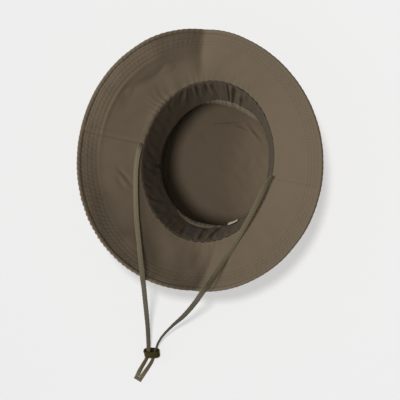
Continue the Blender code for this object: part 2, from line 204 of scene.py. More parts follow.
def brim_at(angle, share):
    """The brim's underside, from the head opening at share 0 to the edge at share 1."""
    inner = oval(OPENING_HALF + BRIM_INNER_GAP, angle, BRIM_START_HEIGHT)
    radius = (
        BRIM_RADIUS
        - BRIM_SHIFT * np.cos(angle - BRIM_SHIFT_DIRECTION)
        + BRIM_STRETCH * np.cos(2 * (angle - BRIM_STRETCH_DIRECTION))
        + BRIM_BULGE[2] * near_angle(angle, *BRIM_BULGE[:2])
    )
    edge = joined(BRIM_CENTRE[0] + radius * np.cos(angle), BRIM_CENTRE[1] + radius * np.sin(angle))
    droop = BRIM_DROOP * (0.5 + 0.5 * np.cos(angle - BRIM_DROOP_DIRECTION)) ** 4
    rise = (BRIM_RISE - droop) * (0.75 * share + 0.25 * share**2)
    for at_opening, at_edge, depth, before, after in FOLDS:
        off = turn_between(angle, radians(at_opening) + radians(at_edge - at_opening) * share)
        spread = np.radians(np.where(off < 0, before, after))
        away = np.hypot(off, FOLD_ROUNDING) - FOLD_ROUNDING
        rise = rise - depth * np.maximum(share, 0) * np.exp(-away / spread)
    for centre, spread, height, way_out, width in BRIM_SWELLS:
        rise = rise + height * near_angle(angle, centre, spread) * bell(share - way_out, width)
    for centre, spread, height in BRIM_RIDGES:
        rise = rise + height * share * near_angle(angle, centre, spread)
    x, y = (inner[..., k] + (edge[..., k] - inner[..., k]) * share for k in (0, 1))
    return joined(x, y, BRIM_START_HEIGHT + rise)


def sweatband_at(angle, share):
    """The plain sweatband, from its free edge at share 0 up to its seam at share 1."""
    seam = oval(OPENING_HALF - WALL_CLOTH, angle, CROWN_DEPTH)
    free = oval(
        SWEATBAND_EDGE_HALF, angle, CROWN_DEPTH - SWEATBAND_WIDTH_DOWN, SWEATBAND_EDGE_CENTRE
    )
    return free + (seam - free) * np.asarray(share)[..., None]


# ---- relief: how cloth departs from a shape


def unevenness(points, size, seed):
    """A smooth random height between about -1 and 1, with bumps of this size."""
    terms = 7
    random = np.random.RandomState(seed)
    total = np.zeros(points.shape[:-1])
    for _ in range(terms):
        direction = unit(random.normal(size=3))
        pitch = size * random.uniform(0.75, 1.5)
        total += np.sin(points @ direction * tau / pitch + random.uniform(0, tau))
    return total / terms**0.5 / 1.2


def crease(points, start, end, width):
    """1 along a line in plan, falling to 0 beside it and beyond its ends."""
    start, end = np.array(start), np.array(end)
    along = end - start
    length = np.linalg.norm(along)
    offset = points[..., :2] - start
    share = np.clip(offset @ along / length**2, 0, 1)
    away = np.linalg.norm(offset - share[..., None] * along, axis=-1)
    taper = np.sin(pi * (0.02 + 0.96 * share)) ** 1.3
    return bell(away, width) * taper


def all_creases(points, creases):
    """The height that a list of creases, each (start, end, width, height), adds at these points."""
    return sum(height * crease(points, start, end, width) for start, end, width, height in creases)


def normals_of(points):
    """Unit normals of a grid of points (round, rows, 3) that closes on itself round the hat."""
    around = np.roll(points, -1, axis=0) - np.roll(points, 1, axis=0)
    return unit(np.cross(around, np.gradient(points, axis=1)))


# ---- materials

WAVE_SPACING = tau / 20  # a wave texture of scale 1 repeats at this distance
COLOUR_INPUTS, COLOUR_OUTPUT = (6, 7), 2  # of a mix node, which has others of the same names


def nodes_for(name, colour=(0.8, 0.8, 0.8)):
    """A new material, its node tree and its shader; colour is what a plain view shows."""
    material = bpy.data.materials.new(name)
    material.diffuse_color = (*colour, 1.0)
    material.use_nodes = True
    tree = material.node_tree
    return material, tree, tree.nodes["Principled BSDF"]


def add_node(tree, kind, **values):
    node = tree.nodes.new(kind)
    for key, value in values.items():
        if hasattr(node, key):
            setattr(node, key, value)
        else:
            node.inputs[key.replace("_", " ")].default_value = value
    return node


def mixed(tree, factor, first, second):
    """A colour between two, each a colour or a socket."""
    node = tree.nodes.new("ShaderNodeMix")
    node.data_type = "RGBA"
    tree.links.new(factor, node.inputs["Factor"])
    for place, value in zip(COLOUR_INPUTS, (first, second)):
        socket = node.inputs[place]
        if isinstance(value, bpy.types.NodeSocket):
            tree.links.new(value, socket)
        else:
            socket.default_value = (*value, 1.0)
    return node.outputs[COLOUR_OUTPUT]


def computed(tree, operation, first, second):
    node = tree.nodes.new("ShaderNodeMath")
    node.operation = operation
    for socket, value in zip(node.inputs, (first, second)):
        if isinstance(value, bpy.types.NodeSocket):
            tree.links.new(value, socket)
        else:
            socket.default_value = value
    return node.outputs[0]


def shade(colour, factor):
    return tuple(min(1.0, channel * factor) for channel in colour)


def add_noises(tree, *settings):
    """Noise textures in the object's own space; gives their values."""
    position = tree.nodes.new("ShaderNodeTexCoord").outputs["Object"]
    values = []
    for scale, detail, roughness in settings:
        noise = add_node(tree, "ShaderNodeTexNoise", Scale=scale, Detail=detail, Roughness=roughness)
        tree.links.new(position, noise.inputs["Vector"])
        values.append(noise.outputs["Fac"])
    return values


def finish_surface(tree, shader, base, gloss, height, specular):
    """Links colour, roughness (value, its spread, least) and bump (value, strength, depth)."""
    tree.links.new(base, shader.inputs["Base Color"])
    value, spread, least = gloss
    roughness = computed(tree, "MULTIPLY_ADD", value, spread)
    roughness.node.inputs[2].default_value = least
    tree.links.new(roughness, shader.inputs["Roughness"])
    value, strength, depth = height
    bump = add_node(tree, "ShaderNodeBump", Strength=strength, Distance=depth)
    tree.links.new(value, bump.inputs["Height"])
    tree.links.new(bump.outputs["Normal"], shader.inputs["Normal"])
    shader.inputs["Specular IOR Level"].default_value = specular


def woven(
    name, colour, pitch=0.0007, rough=0.86, contrast=0.16, relief=0.00006, twill=False, sheen=0.06,
    worn=0.0, painted_shade_span=None,
):
    """Plain or twill cloth. Its UV map is in metres, so the threads have their real size.

    worn lightens the raised edges; the last argument gives the lengths along a tape between which it
    darkens, painted shade on the strands' lower lengths.
    """
    material, tree, shader = nodes_for(name, colour)
    place = tree.nodes.new("ShaderNodeUVMap")
    threads = []
    for direction in ("DIAGONAL" if twill else "X", "Y"):
        wave = add_node(
            tree, "ShaderNodeTexWave", wave_type="BANDS", bands_direction=direction,
            wave_profile="SIN", Scale=WAVE_SPACING / pitch * (0.7 if direction == "DIAGONAL" else 1.0),
            Distortion=0.6, Detail=1.0, Detail_Scale=2.0,
        )
        tree.links.new(place.outputs[0], wave.inputs["Vector"])
        threads.append(wave.outputs["Fac"])
    weave = computed(tree, "MULTIPLY", *threads)
    slubs, patches = add_noises(tree, (900.0, 3.0, 0.7), (38.0, 4.0, 0.6))
    ground = mixed(tree, weave, shade(colour, 1 - contrast), shade(colour, 1 + contrast))
    mottle = mixed(tree, patches, shade(colour, 0.90), shade(colour, 1.10))
    half = computed(tree, "MULTIPLY", slubs, 0.9)
    base = mixed(tree, half, ground, mottle)
    if worn:
        geometry = tree.nodes.new("ShaderNodeNewGeometry")
        ramp = tree.nodes.new("ShaderNodeValToRGB")
        ramp.color_ramp.elements[0].position = 0.50
        ramp.color_ramp.elements[1].position = 0.62
        tree.links.new(geometry.outputs["Pointiness"], ramp.inputs["Fac"])
        edges = computed(tree, "MULTIPLY", ramp.outputs["Color"], worn)
        base = mixed(tree, edges, base, shade(colour, 1.7))
    # painted shade: the tape darkens along its length towards the slider
    if painted_shade_span:
        along = tree.nodes.new("ShaderNodeSeparateXYZ")
        tree.links.new(place.outputs[0], along.inputs[0])
        painted_shade_ramp = add_node(tree, "ShaderNodeMapRange", From_Min=painted_shade_span[0], From_Max=painted_shade_span[1])
        tree.links.new(along.outputs["X"], painted_shade_ramp.inputs["Value"])
        base = mixed(tree, painted_shade_ramp.outputs["Result"], base, shade(colour, 0.60))
    height = computed(tree, "ADD", weave, slubs)
    finish_surface(tree, shader, base, (slubs, 0.14, rough - 0.07), (height, 0.5, relief), 0.25)
    shader.inputs["Sheen Weight"].default_value = sheen
    shader.inputs["Sheen Roughness"].default_value = 0.5
    return material


def moulded(name, colour, rough, metallic=0.0):
    """Plastic or metal, faintly clouded in its colour and gloss, with a fine grain to its skin."""
    material, tree, shader = nodes_for(name, colour)
    clouds, grain = add_noises(tree, (220.0, 5.0, 0.65), (1800.0, 2.0, 0.5))
    base = mixed(tree, clouds, shade(colour, 0.65), shade(colour, 1.35))
    finish_surface(tree, shader, base, (clouds, 0.25, rough - 0.12), (grain, 0.25, 0.00004), 0.2)
    shader.inputs["Metallic"].default_value = metallic
    return material


SHELL = (0.157, 0.119, 0.078)
shell_cloth = woven("shell_cloth", SHELL, worn=0.25)
# painted light: the shell cloth made 22 percent lighter for the crown's tip panel
tip_cloth_painted_light = woven("tip_cloth_painted_light", shade(SHELL, 1.22), pitch=0.0008)
sweatband_cloth = woven("sweatband_cloth", (0.087, 0.067, 0.044), pitch=0.0009, twill=True, sheen=0.03)
tape_cloth = woven("tape_cloth", (0.165, 0.136, 0.090), pitch=0.0010, relief=0.00010)
binding_cloth = woven("binding_cloth", (0.150, 0.115, 0.075), pitch=0.0008, worn=0.35)
webbing_cloth = woven("webbing_cloth", (0.120, 0.094, 0.062), pitch=0.0016, relief=0.00015)
label_cloth = woven("label_cloth", (0.080, 0.063, 0.045), pitch=0.0005, rough=0.7)
pale_cloth = woven("pale_cloth", (0.66, 0.58, 0.42), pitch=0.0005, rough=0.6)
# its colour darkens towards the slider: painted shade on the lower strands
strap_cloth = woven(
    "strap_cloth", (0.177, 0.147, 0.089), pitch=0.0012, contrast=0.3, relief=0.00018, twill=True,
    painted_shade_span=(0.13, 0.20),
)
thread = woven("thread", (0.152, 0.117, 0.076), pitch=0.0004, rough=0.7, contrast=0.3)
dark_thread = woven("dark_thread", (0.030, 0.024, 0.017), pitch=0.0004, rough=0.7)
slider_plastic = moulded("slider_plastic", (0.046, 0.034, 0.004), 0.62)
vent_metal = moulded("vent_metal", (0.150, 0.110, 0.060), 0.42, metallic=1.0)


# ---- building meshes

RIM_BULGE = 0.12  # how far a layer's rim stands out, as a share of its last row's width


def add_object(name, data):
    thing = bpy.data.objects.new(name, data)
    bpy.context.scene.collection.objects.link(thing)
    return thing


def add_mesh(name, points, faces, material, uvs=None):
    """A mesh object; uvs gives each point a place in metres for the weave."""
    mesh = bpy.data.meshes.new(name)
    mesh.from_pydata(points.reshape(-1, 3).tolist(), [], faces)
    mesh.polygons.foreach_set("use_smooth", [True] * len(mesh.polygons))
    layer = mesh.uv_layers.new(name="UVMap")
    if uvs is not None:
        corners = np.empty(len(mesh.loops), np.int32)
        mesh.loops.foreach_get("vertex_index", corners)
        layer.data.foreach_set("uv", uvs.reshape(-1, 2)[corners].ravel())
    mesh.materials.append(material)
    mesh.update()
    return add_object(name, mesh)


def ring_faces(count, around, whole=True):
    """Quads of a grid of points numbered ring by ring, each ring a closed loop of `around` points."""
    ring = np.arange(count if whole else count - 1)
    step = np.arange(around)
    a = ring[:, None] * around + step
    b = ring[:, None] * around + (step + 1) % around
    c = (a + around) % (count * around)
    d = (b + around) % (count * around)
    return np.stack((a, b, d, c), axis=-1).reshape(-1, 4).tolist()


def cap(around, count):
    """The two end faces of an open tube of rings."""
    last = (count - 1) * around
    return [list(range(around))[::-1], list(range(last, last + around))]


def layer_rings(low, high):
    """Closed sections from a low and a high face, (round, rows, 3) each, with rounded rims."""
    middle = (low + high) / 2
    bulge_low = middle[:, :1] + (low[:, :1] - low[:, 1:2]) * RIM_BULGE
    bulge_high = middle[:, -1:] + (low[:, -1:] - low[:, -2:-1]) * RIM_BULGE
    return np.concatenate((low, bulge_high, high[:, ::-1], bulge_low), axis=1)


def sheet_uvs(points):
    """Metres round the middle row and metres across, for a closed layer of cloth."""
    rows = points.shape[1] // 2
    along = lengths_along(points[:, rows // 2])
    across = lengths_along(points[0])
    return joined(along[:, None], across[None, :])


def add_layer(name, low, high, material, whole=True):
    """A closed layer of cloth between two faces; whole says that it goes all the way round."""
    rings = layer_rings(low, high)
    count, around = rings.shape[:2]
    faces = ring_faces(count, around, whole)
    if not whole:
        faces += cap(around, count)
    return add_mesh(name, rings, faces, material, sheet_uvs(rings))


def steps_round(count):
    return tau * np.arange(count) / count


def add_stitches(name, lines, material, length=0.0026, gap=0.0009, radius=0.00022):
    """Little spindles end to end along each line; a line is (points, normals), both (n, 3)."""
    points, faces = [], []
    sides, lift = 5, 0.00005
    for line, normals in lines:
        along = lengths_along(line)
        count = int(along[-1] / (length + gap))
        for k in range(count):
            middle = along[-1] * (k + 0.5) / count
            first, last, normal = (
                np.array([np.interp(place, along, values[:, i]) for i in range(3)])
                for place, values in (
                    (middle - length / 2, line), (middle + length / 2, line), (middle, normals)
                )
            )
            direction = unit(last - first)
            side = unit(np.cross(direction, normal))
            up = np.cross(side, direction)
            base = len(points)
            points.append(first - up * radius)
            for share in (0.22, 0.78):
                centre = first + (last - first) * share + up * lift
                for turn in steps_round(sides):
                    points.append(centre + (side * cos(turn) + up * sin(turn)) * radius * 0.85)
            points.append(last - up * radius)
            for i in range(sides):
                a, b = base + 1 + i, base + 1 + (i + 1) % sides
                faces.append((base, b, a))
                faces.append((a, b, b + sides, a + sides))
                faces.append((a + sides, b + sides, base + 1 + 2 * sides))
    points = np.array(points)
    return add_mesh(name, points, faces, material, points[:, :2])


def turned_section(section, steps, across_power=1.0, deep_power=1.0):
    """Rings of (place along the axis, half width, half depth); powers under 1 square the rings up."""
    turns = steps_round(steps)[:, None]
    along, half_width, half_depth = np.array(section).T
    x = half_width * squared(np.cos(turns), across_power)
    y = half_depth * squared(np.sin(turns), deep_power)
    return joined(x, y, along)


def on_hat(thing, slot, *nodes):
    """Puts a piece on the hat's body in place of these nodes. The slot is not used."""
    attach(thing, "hat")
    if nodes:
        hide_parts(*nodes)
    return thing


# ---- brim

BRIM_STEPS = 900
QUILT_ROWS = (0.0072, 0.0122, 0.0172, 0.0222)  # rows of topstitching, measured in from the edge
QUILT_PITCH = 0.0050
HEM_GROOVE = 0.0046  # how far in from the edge, like the next two
PUCKERED = 0.0135
WELT = 0.0258
PUCKER_PITCH = 0.0062
GATHER_PITCH = 0.0140
BRIM_SEAMS = ((2, 0.0005), (180.5, 0.0013))  # degrees round, depth of each side seam
BINDING_PITCH = 0.0066
BINDING_HALF = (0.0025, 0.00185)  # half its width and half its thickness
BINDING_INSET = 0.0017
BRIM_CREASES = (  # start, end, width, height of each old crease in the brim's underside
    ((-0.101, -0.030), (-0.074, -0.051), 0.0022, -0.0011),
    ((-0.098, -0.042), (-0.080, -0.058), 0.0030, -0.0006),
    ((-0.096, -0.036), (-0.076, -0.054), 0.0024, 0.0005),
    ((0.012, -0.100), (-0.020, -0.128), 0.0060, 0.0010),
    ((0.030, -0.098), (0.024, -0.128), 0.0060, -0.0010),
    ((-0.040, -0.092), (-0.072, -0.108), 0.0050, -0.0007),
    ((0.096, 0.040), (0.122, 0.054), 0.0050, -0.0006),
    ((0.100, 0.022), (0.126, 0.034), 0.0045, 0.0005),
    ((0.090, -0.050), (0.112, -0.074), 0.0060, 0.0006),
)


def quilting_relief(angle, inset, points):
    """The quilted rows and their puckers, the groove beside the hem and the welt inside the rows."""
    arc = angle * QUILTING_RADIUS
    slack = 0.45 + 0.9 * near_angle(angle, 228, 34) + 0.25 * near_angle(angle, 330, 40)
    wander = 1.3 * unevenness(points, 0.045, 3)
    pucker = np.sin(tau * (arc - 0.55 * inset) / PUCKER_PITCH + wander)
    pucker += 0.5 * np.sin(tau * arc / (PUCKER_PITCH * 1.7) + 2.1 * wander)
    quilted = 1 / (1 + np.exp((inset - QUILT_ROWS[-1] - 0.0012) / 0.0006))
    row = (inset - QUILT_ROWS[0]) / QUILT_PITCH
    valley = np.abs(row - np.round(row)) * QUILT_PITCH
    height = quilted * (0.00010 * (1 - bell(valley, 0.0011)) - 0.00008 * bell(valley, 0.0005))
    height += 0.00016 * slack * pucker * bell(inset - PUCKERED, 0.0105)
    height += (0.0001 + 0.0006 * near_angle(angle, 160, 26)) * bell(inset - WELT, 0.0022)
    return height - 0.00070 * bell(inset - HEM_GROOVE, 0.0010)


def gathers_relief(angle, depth_in, points):
    """Gathers beside the head opening, its seam's groove, and the lip that stands over it at the left."""
    gathers = np.sin(tau * angle * QUILTING_RADIUS / GATHER_PITCH + 4.5 * unevenness(points, 0.05, 5))
    fullness = 0.15 + 0.7 * near_angle(angle, 142, 20) + 0.2 * near_angle(angle, 75, 18)
    height = 0.00055 * fullness * gathers * np.exp(-depth_in / 0.011)
    height -= 0.0003 * bell(depth_in - 0.0012, 0.0009)
    return height + 0.0012 * near_angle(angle, 158, 24) * bell(depth_in - 0.0015, 0.0009)


def rumpled_relief(angle, inset, points):
    """Soft unevenness everywhere, rumples at the left and a long soft dip across the left back."""
    height = 0.0007 * unevenness(points, 0.070, 11) * bell(inset - 0.045, 0.034)
    height += 0.00022 * unevenness(points, 0.020, 12)
    rumpled = 0.0016 * near_angle(angle, 130, 24) + 0.0017 * near_angle(angle, 242, 28)
    height += rumpled * unevenness(points, 0.038, 15) * bell(inset - 0.040, 0.024)
    dip = inset - 0.043 - 0.006 * unevenness(points, 0.050, 16)
    return height - 0.0015 * near_angle(angle, 136, 22) * bell(dip, 0.0065)


def brim_relief(angle, inset, depth_in, points):
    """Height of the brim's cloth above its plain shape; depth_in is the distance out from the opening."""
    height = quilting_relief(angle, inset, points)
    height += gathers_relief(angle, depth_in, points)
    height += rumpled_relief(angle, inset, points)
    for seam, depth in BRIM_SEAMS:
        off = turn_between(angle, radians(seam)) * np.linalg.norm(points[..., :2], axis=-1)
        height += depth * (0.7 * bell(off + 0.0040, 0.0036) - bell(off, 0.0009))
    return height + all_creases(points, BRIM_CREASES)


def brim_grid():
    """Angles, distances in from the edge and out from the opening, and the brim's plain surface."""
    # The first row reaches under the crown's seam; the rows are closest where the quilting is.
    way_in = np.concatenate(((1.022,), np.linspace(1, 0.37, 24)[:-1], np.linspace(0.37, 0.012, 42)))
    angle, way_in = grid(steps_round(BRIM_STEPS), way_in)
    across = brim_at(angle[:, 0], 1.0) - brim_at(angle[:, 0], 0.0)
    width = np.linalg.norm(across, axis=-1)[:, None]
    return angle, way_in * width, (1 - way_in) * width, brim_at(angle, 1 - way_in)


def add_brim():
    angle, inset, depth_in, points = brim_grid()
    normal = normals_of(points)
    under = points - normal * brim_relief(angle, inset, depth_in, points)[..., None]
    # The other side is a cloth of its own, so it puckers at other places.
    above_height = brim_relief(angle + 0.3, inset, depth_in, points * np.array((1, 1, 1.7)))
    above = points + normal * (BRIM_CLOTH + 0.7 * above_height[..., None])
    brim = on_hat(
        add_layer("brim", under, above, shell_cloth), "shell_cloth",
        "brim_lower_front", "brim_lower_back", "brim_upper_front", "brim_upper_back",
        "brim_interlining_front", "brim_interlining_back",
    )
    lines = []
    for row in QUILT_ROWS:
        column = np.argmin(np.abs(inset[0] - row))
        for face, out in ((under, -normal), (above, normal)):
            lines.append((face[:, column] + out[:, column] * 0.00012, out[:, column]))
    on_hat(add_stitches("brim_topstitching", lines, thread), "shell_cloth")


def add_binding():
    """The turned edge of the brim, whipped into slanting puckers by its own stitching."""
    steps, section = 1400, 14
    angle = steps_round(steps)[:, None]
    turn = steps_round(section)[None, :]
    rim = brim_at(angle, np.array((0.97, 1.0))[None, :])
    edge = rim[:, 1:]
    outward = unit(edge - rim[:, :1])
    normal = normals_of(rim)[:, 1:]
    slack = 0.35 + near_angle(angle, 230, 32) + 0.25 * near_angle(angle, 150, 40)
    wander = 0.9 * unevenness(edge, 0.06, 21)
    rope = np.sin(tau * angle * EDGE_RADIUS / BINDING_PITCH + wander + 0.55 * turn)
    swell = 1 + 0.14 * slack * rope + 0.05 * unevenness(edge, 0.02, 22)
    out = BINDING_HALF[0] * squared(np.cos(turn), 0.85) * swell - BINDING_INSET
    up = BINDING_HALF[1] * squared(np.sin(turn), 0.8) * swell + BRIM_CLOTH / 2
    points = edge + outward * out[..., None] + normal * up[..., None]
    uvs = joined(angle * EDGE_RADIUS, turn * 0.0021)
    binding = add_mesh("brim_binding", points, ring_faces(steps, section), binding_cloth, uvs)
    on_hat(binding, "binding_tape", "brim_edge_binding")


# ---- crown

CROWN_STEPS = 480
CROWN_ROWS = 60
TIP_CREASES = (  # start, end, width, height of each crease in the tip's inner face
    ((-0.024, 0.046), (0.018, 0.060), 0.0020, 0.0018),
    ((0.002, 0.056), (0.040, 0.050), 0.0018, 0.0017),
    ((0.020, 0.064), (0.052, 0.040), 0.0022, 0.0020),
    ((0.034, 0.014), (0.008, -0.006), 0.0050, -0.0011),
    ((0.046, 0.024), (0.038, 0.002), 0.0040, -0.0010),
    ((-0.058, -0.020), (-0.046, -0.046), 0.0016, 0.0009),
    ((-0.060, -0.026), (-0.050, -0.034), 0.0014, -0.0009),
    ((-0.018, 0.032), (-0.044, 0.006), 0.0080, 0.0012),
    ((0.000, -0.050), (0.040, -0.056), 0.0050, 0.0006),
)


def crown_relief(angle, height, points):
    """Puckers at the band's two seams and at the floor, a soft sag between them, and the side seams."""
    puckers = np.sin(tau * angle * HEAD_RADIUS / 0.0085 + 2.4 * unevenness(points, 0.05, 31))
    relief = 0.00040 * puckers * bell(height - 0.0500, 0.0090)
    relief += 0.00045 * puckers * bell(height - CROWN_DEPTH, 0.0060)
    relief += 0.00025 * puckers * bell(height - 0.0020, 0.0035)
    relief += 0.0012 * unevenness(points, 0.055, 32) * bell(height - 0.026, 0.020)
    relief += 0.00025 * unevenness(points, 0.016, 33)
    for seam in (0.0, pi):
        off = turn_between(angle, seam) * HEAD_RADIUS
        relief += -0.00045 * bell(off, 0.0008) + 0.0002 * bell(off + 0.004, 0.003)
    return relief


def add_crown():
    heights = np.interp(
        np.linspace(0, 1, CROWN_ROWS), (0, 0.35, 1), (WALL_HEIGHTS[0], 0.0115, CROWN_DEPTH)
    )
    angle, height = grid(steps_round(CROWN_STEPS), heights)
    points = wall_at(angle, height)
    points[:, 1:-1] = (points[:, :-2] + 2 * points[:, 1:-1] + points[:, 2:]) / 4
    normal = normals_of(points)
    relief = crown_relief(angle, height, points)[..., None]
    face = points + normal * (WALL_CLOTH + relief)
    face[..., 2] = np.maximum(face[..., 2], 0.0001)
    wall = add_layer("crown_wall", points + normal * relief, face, shell_cloth)
    on_hat(wall, "shell_cloth", "crown_side_front", "crown_side_back")
    lines = []
    for level in (0.0045, 0.0075):
        column = np.argmin(np.abs(heights - level))
        lines.append((face[:, column], normal[:, column]))
    on_hat(add_stitches("crown_topstitching", lines, thread), "shell_cloth")
    add_tip()


def tip_height(points):
    height = 0.0020 + 0.0009 * unevenness(points, 0.042, 41) + 0.00025 * unevenness(points, 0.014, 42)
    return np.maximum(height + all_creases(points, TIP_CREASES), 0.0003)


def add_tip():
    """The oval top panel: its face towards the floor stays flat, its face towards the head is rumpled."""
    angle = steps_round(240)[:, None]
    share = np.linspace(0.012, 1.0, 80)[None, :]
    edge = oval(TIP_HALF - 0.0003, angle, 0.0)
    points = CROWN_CENTRE + (edge - CROWN_CENTRE) * share[..., None]
    high = points.copy()
    rim = bell((1 - share) * 0.075, 0.006)
    high[..., 2] = tip_height(points) * (1 - 0.5 * rim) + 0.0012 * rim
    rings = np.concatenate((high, points[:, ::-1]), axis=1)
    count, around = rings.shape[:2]
    faces = [face for k, face in enumerate(ring_faces(count, around), 1) if k % around]
    faces.append([k * around for k in range(count)])
    faces.append([k * around + around - 1 for k in range(count)][::-1])
    tip = add_mesh("crown_top_panel", rings, faces, tip_cloth_painted_light, rings[..., :2])
    on_hat(tip, "shell_cloth", "crown_tip")


# ---- sweatband

BAND_STEPS = 640
BAND_ROWS = 34
TAPE_ROWS = 14
BAND_CLOTH = 0.0007
# Degrees round, spread, and how far the free edge leans in towards the head.
BAND_LEANS = ((100, 34, 0.0022), (60, 14, -0.0016), (262, 26, 0.0016), (306, 16, -0.0032))
# Degrees round, width in degrees, and height of the folds at the back.
BAND_FOLDS = ((88.0, 1.1, -0.0022), (84.5, 1.6, 0.0014), (79.0, 1.5, -0.0020))


def sweatband_surface(angle, share):
    """The sweatband with its sag: it bellies out between seam and free edge, and its free edge waves."""
    points = sweatband_at(angle, share)
    free = (1 - share) ** 1.5
    lean = 0.0010 * np.sin(5 * angle + 0.6)
    for centre, spread, depth in BAND_LEANS:
        lean = lean + depth * near_angle(angle, centre, spread)
    inward = unit(CROWN_CENTRE[:2] - points[..., :2])
    points[..., :2] += inward * (lean * free)[..., None]
    points[..., 2] += 0.0016 * free * np.sin(3 * angle + 1.1) + 0.0010 * free * np.sin(7 * angle)
    return points


def sweatband_relief(angle, share, points):
    """Upright folds, fullest at the back and the front, and flat beside the seam."""
    arc = angle * HEAD_RADIUS
    wander = unevenness(points, 0.045, 51)
    fullness = 0.45 + near_angle(angle, 120, 24) + 0.5 * near_angle(angle, 240, 40)
    folds = np.sin(tau * arc / 0.0130 + 2.8 * wander) + 0.6 * np.sin(tau * arc / 0.0078 + 4 * wander)
    relief = 0.00075 * fullness * folds * bell(share - 0.80, 0.34)
    relief += 0.00035 * unevenness(points, 0.012, 52)
    relief *= 1 - bell(share - 1, 0.12)
    for centre, width, height in BAND_FOLDS:
        fold = near_angle(angle + 0.05 * share, centre, width)
        relief += height * fold * bell(share - 0.55, 0.45)
    slanting = turn_between(angle, radians(288) - 0.16 * (share - 0.5)) * HEAD_RADIUS
    return relief - 0.0018 * bell(slanting, 0.0016) * bell(share - 0.55, 0.4)


def band_patch(angles, shares, lift, thick, flatten=0.4):
    """The two faces of a patch that lies on the sweatband's inner side."""
    angle, share = grid(angles, shares)
    points = sweatband_surface(angle, share)
    normal = unit(np.cross(np.gradient(points, axis=0), np.gradient(points, axis=1)))
    relief = flatten * sweatband_relief(angle, share, points)
    near = points - normal * (BAND_CLOTH + lift - relief)[..., None]
    return near - normal * thick, near


def add_sweatband():
    angle, share = grid(steps_round(BAND_STEPS), np.linspace(0, 1, BAND_ROWS))
    points = sweatband_surface(angle, share)
    normal = normals_of(points)
    relief = sweatband_relief(angle, share, points)[..., None]
    band = add_layer(
        "sweatband_cloth", points + normal * (relief - BAND_CLOTH), points + normal * relief,
        sweatband_cloth,
    )
    on_hat(band, "sweatband_twill", "sweatband")
    add_edge_tape()
    patches = (  # name, degrees round, shares, material, slot, node, lift off the band, thickness
        ("sweatband_overlap", (90.0, 97.5), (0.20, 0.98), sweatband_cloth, "sweatband_twill",
         "sweatband_join", 0.0004, 0.0006),
        ("band_label", (262.5, 277.5), (0.28, 0.90), label_cloth, "label_cloth", "size_label",
         0.0003, 0.0004),
        ("band_tab", (300.5, 311.2), (-0.04, 0.13), pale_cloth, "pale_label", "care_tab",
         0.0019, 0.0004),
    )
    for name, sweep, rows, material, slot, node, lift, thick in patches:
        angles = np.radians(np.linspace(*sweep, 40))
        low, high = band_patch(angles, np.linspace(*rows, 20), lift, thick)
        on_hat(add_layer(name, low, high, material, whole=False), slot, node)
    add_band_stitching()


def add_edge_tape():
    """The folded tape round the free edge, fuller where it has turned over at the back."""
    angle, across = grid(steps_round(BAND_STEPS), np.linspace(0, 1, TAPE_ROWS))
    turned_in = np.minimum(1, near_angle(angle, 88, 34) + near_angle(angle, 268, 27))
    doubled = near_angle(angle, 66, 11)
    share = -0.03 - 0.10 * doubled + (0.05 + 0.15 * turned_in + 0.10 * doubled) * across
    points = sweatband_surface(angle, share)
    normal = normals_of(points)
    relief = sweatband_relief(angle, share, points)
    bulge = 0.0006 * (1 - (2 * across - 1) ** 2) - 0.0013 * doubled * bell(across - 0.45, 0.10)
    roll = 0.0010 * near_angle(angle, 66, 12) + 0.0008 * near_angle(angle, 262, 34)
    hidden = 0.0022 * (1 - turned_in)
    ripple = 0.00018 * np.sin(tau * angle * 0.075 / 0.0070 + 3 * unevenness(points, 0.04, 61))
    inner = points + normal * (relief - 0.0010 - bulge - roll + ripple + hidden)[..., None]
    outer = points + normal * (relief + 0.0002 + 0.5 * bulge + hidden)[..., None]
    tape = add_layer("band_edge_tape", inner, outer, tape_cloth)
    on_hat(tape, "binding_tape", "sweatband_edge_tape")


def add_band_stitching():
    """A row of stitches above the edge tape and one below the seam, and a bar tack at the left."""
    lines = []
    for share in (0.155, 0.93):
        angles = np.linspace(0, tau, BAND_STEPS)
        shares = np.array((share, share + 0.02))
        low, _ = band_patch(angles, shares, 0.0002, 0.0, flatten=1.0)
        normals = unit(np.cross(low[:, 1] - low[:, 0], np.gradient(low[:, 0], axis=0)))
        lines.append((low[:, 0], normals))
    on_hat(add_stitches("sweatband_stitching", lines, thread, radius=0.00018), "binding_tape")
    bar = []
    outward = np.tile((0.6, 0.2, 0.7), (12, 1))
    for middle in (195.1, 196.9):
        angles = np.radians(np.linspace(middle - 1.5, middle + 1.5, 12))
        low, _ = band_patch(angles, np.array((0.10, 0.12)), 0.0006, 0.0)
        bar.append((low[:, 0], outward))
    for angle in (195.2, 196.8):
        angles = np.radians((angle, angle + 0.3))
        low, _ = band_patch(angles, np.linspace(0.02, 0.36, 12), 0.0006, 0.0)
        bar.append((low[0], outward))
    tack = add_stitches(
        "sweatband_bar_tack", bar, dark_thread, length=0.0012, gap=0.0001, radius=0.0005
    )
    on_hat(tack, "sweatband_twill")


# ---- outer band and vents

LOOPS = 12
LOOP_BAND_HEIGHTS = (0.0600, 0.0810)
RIB_PITCH = 0.0026


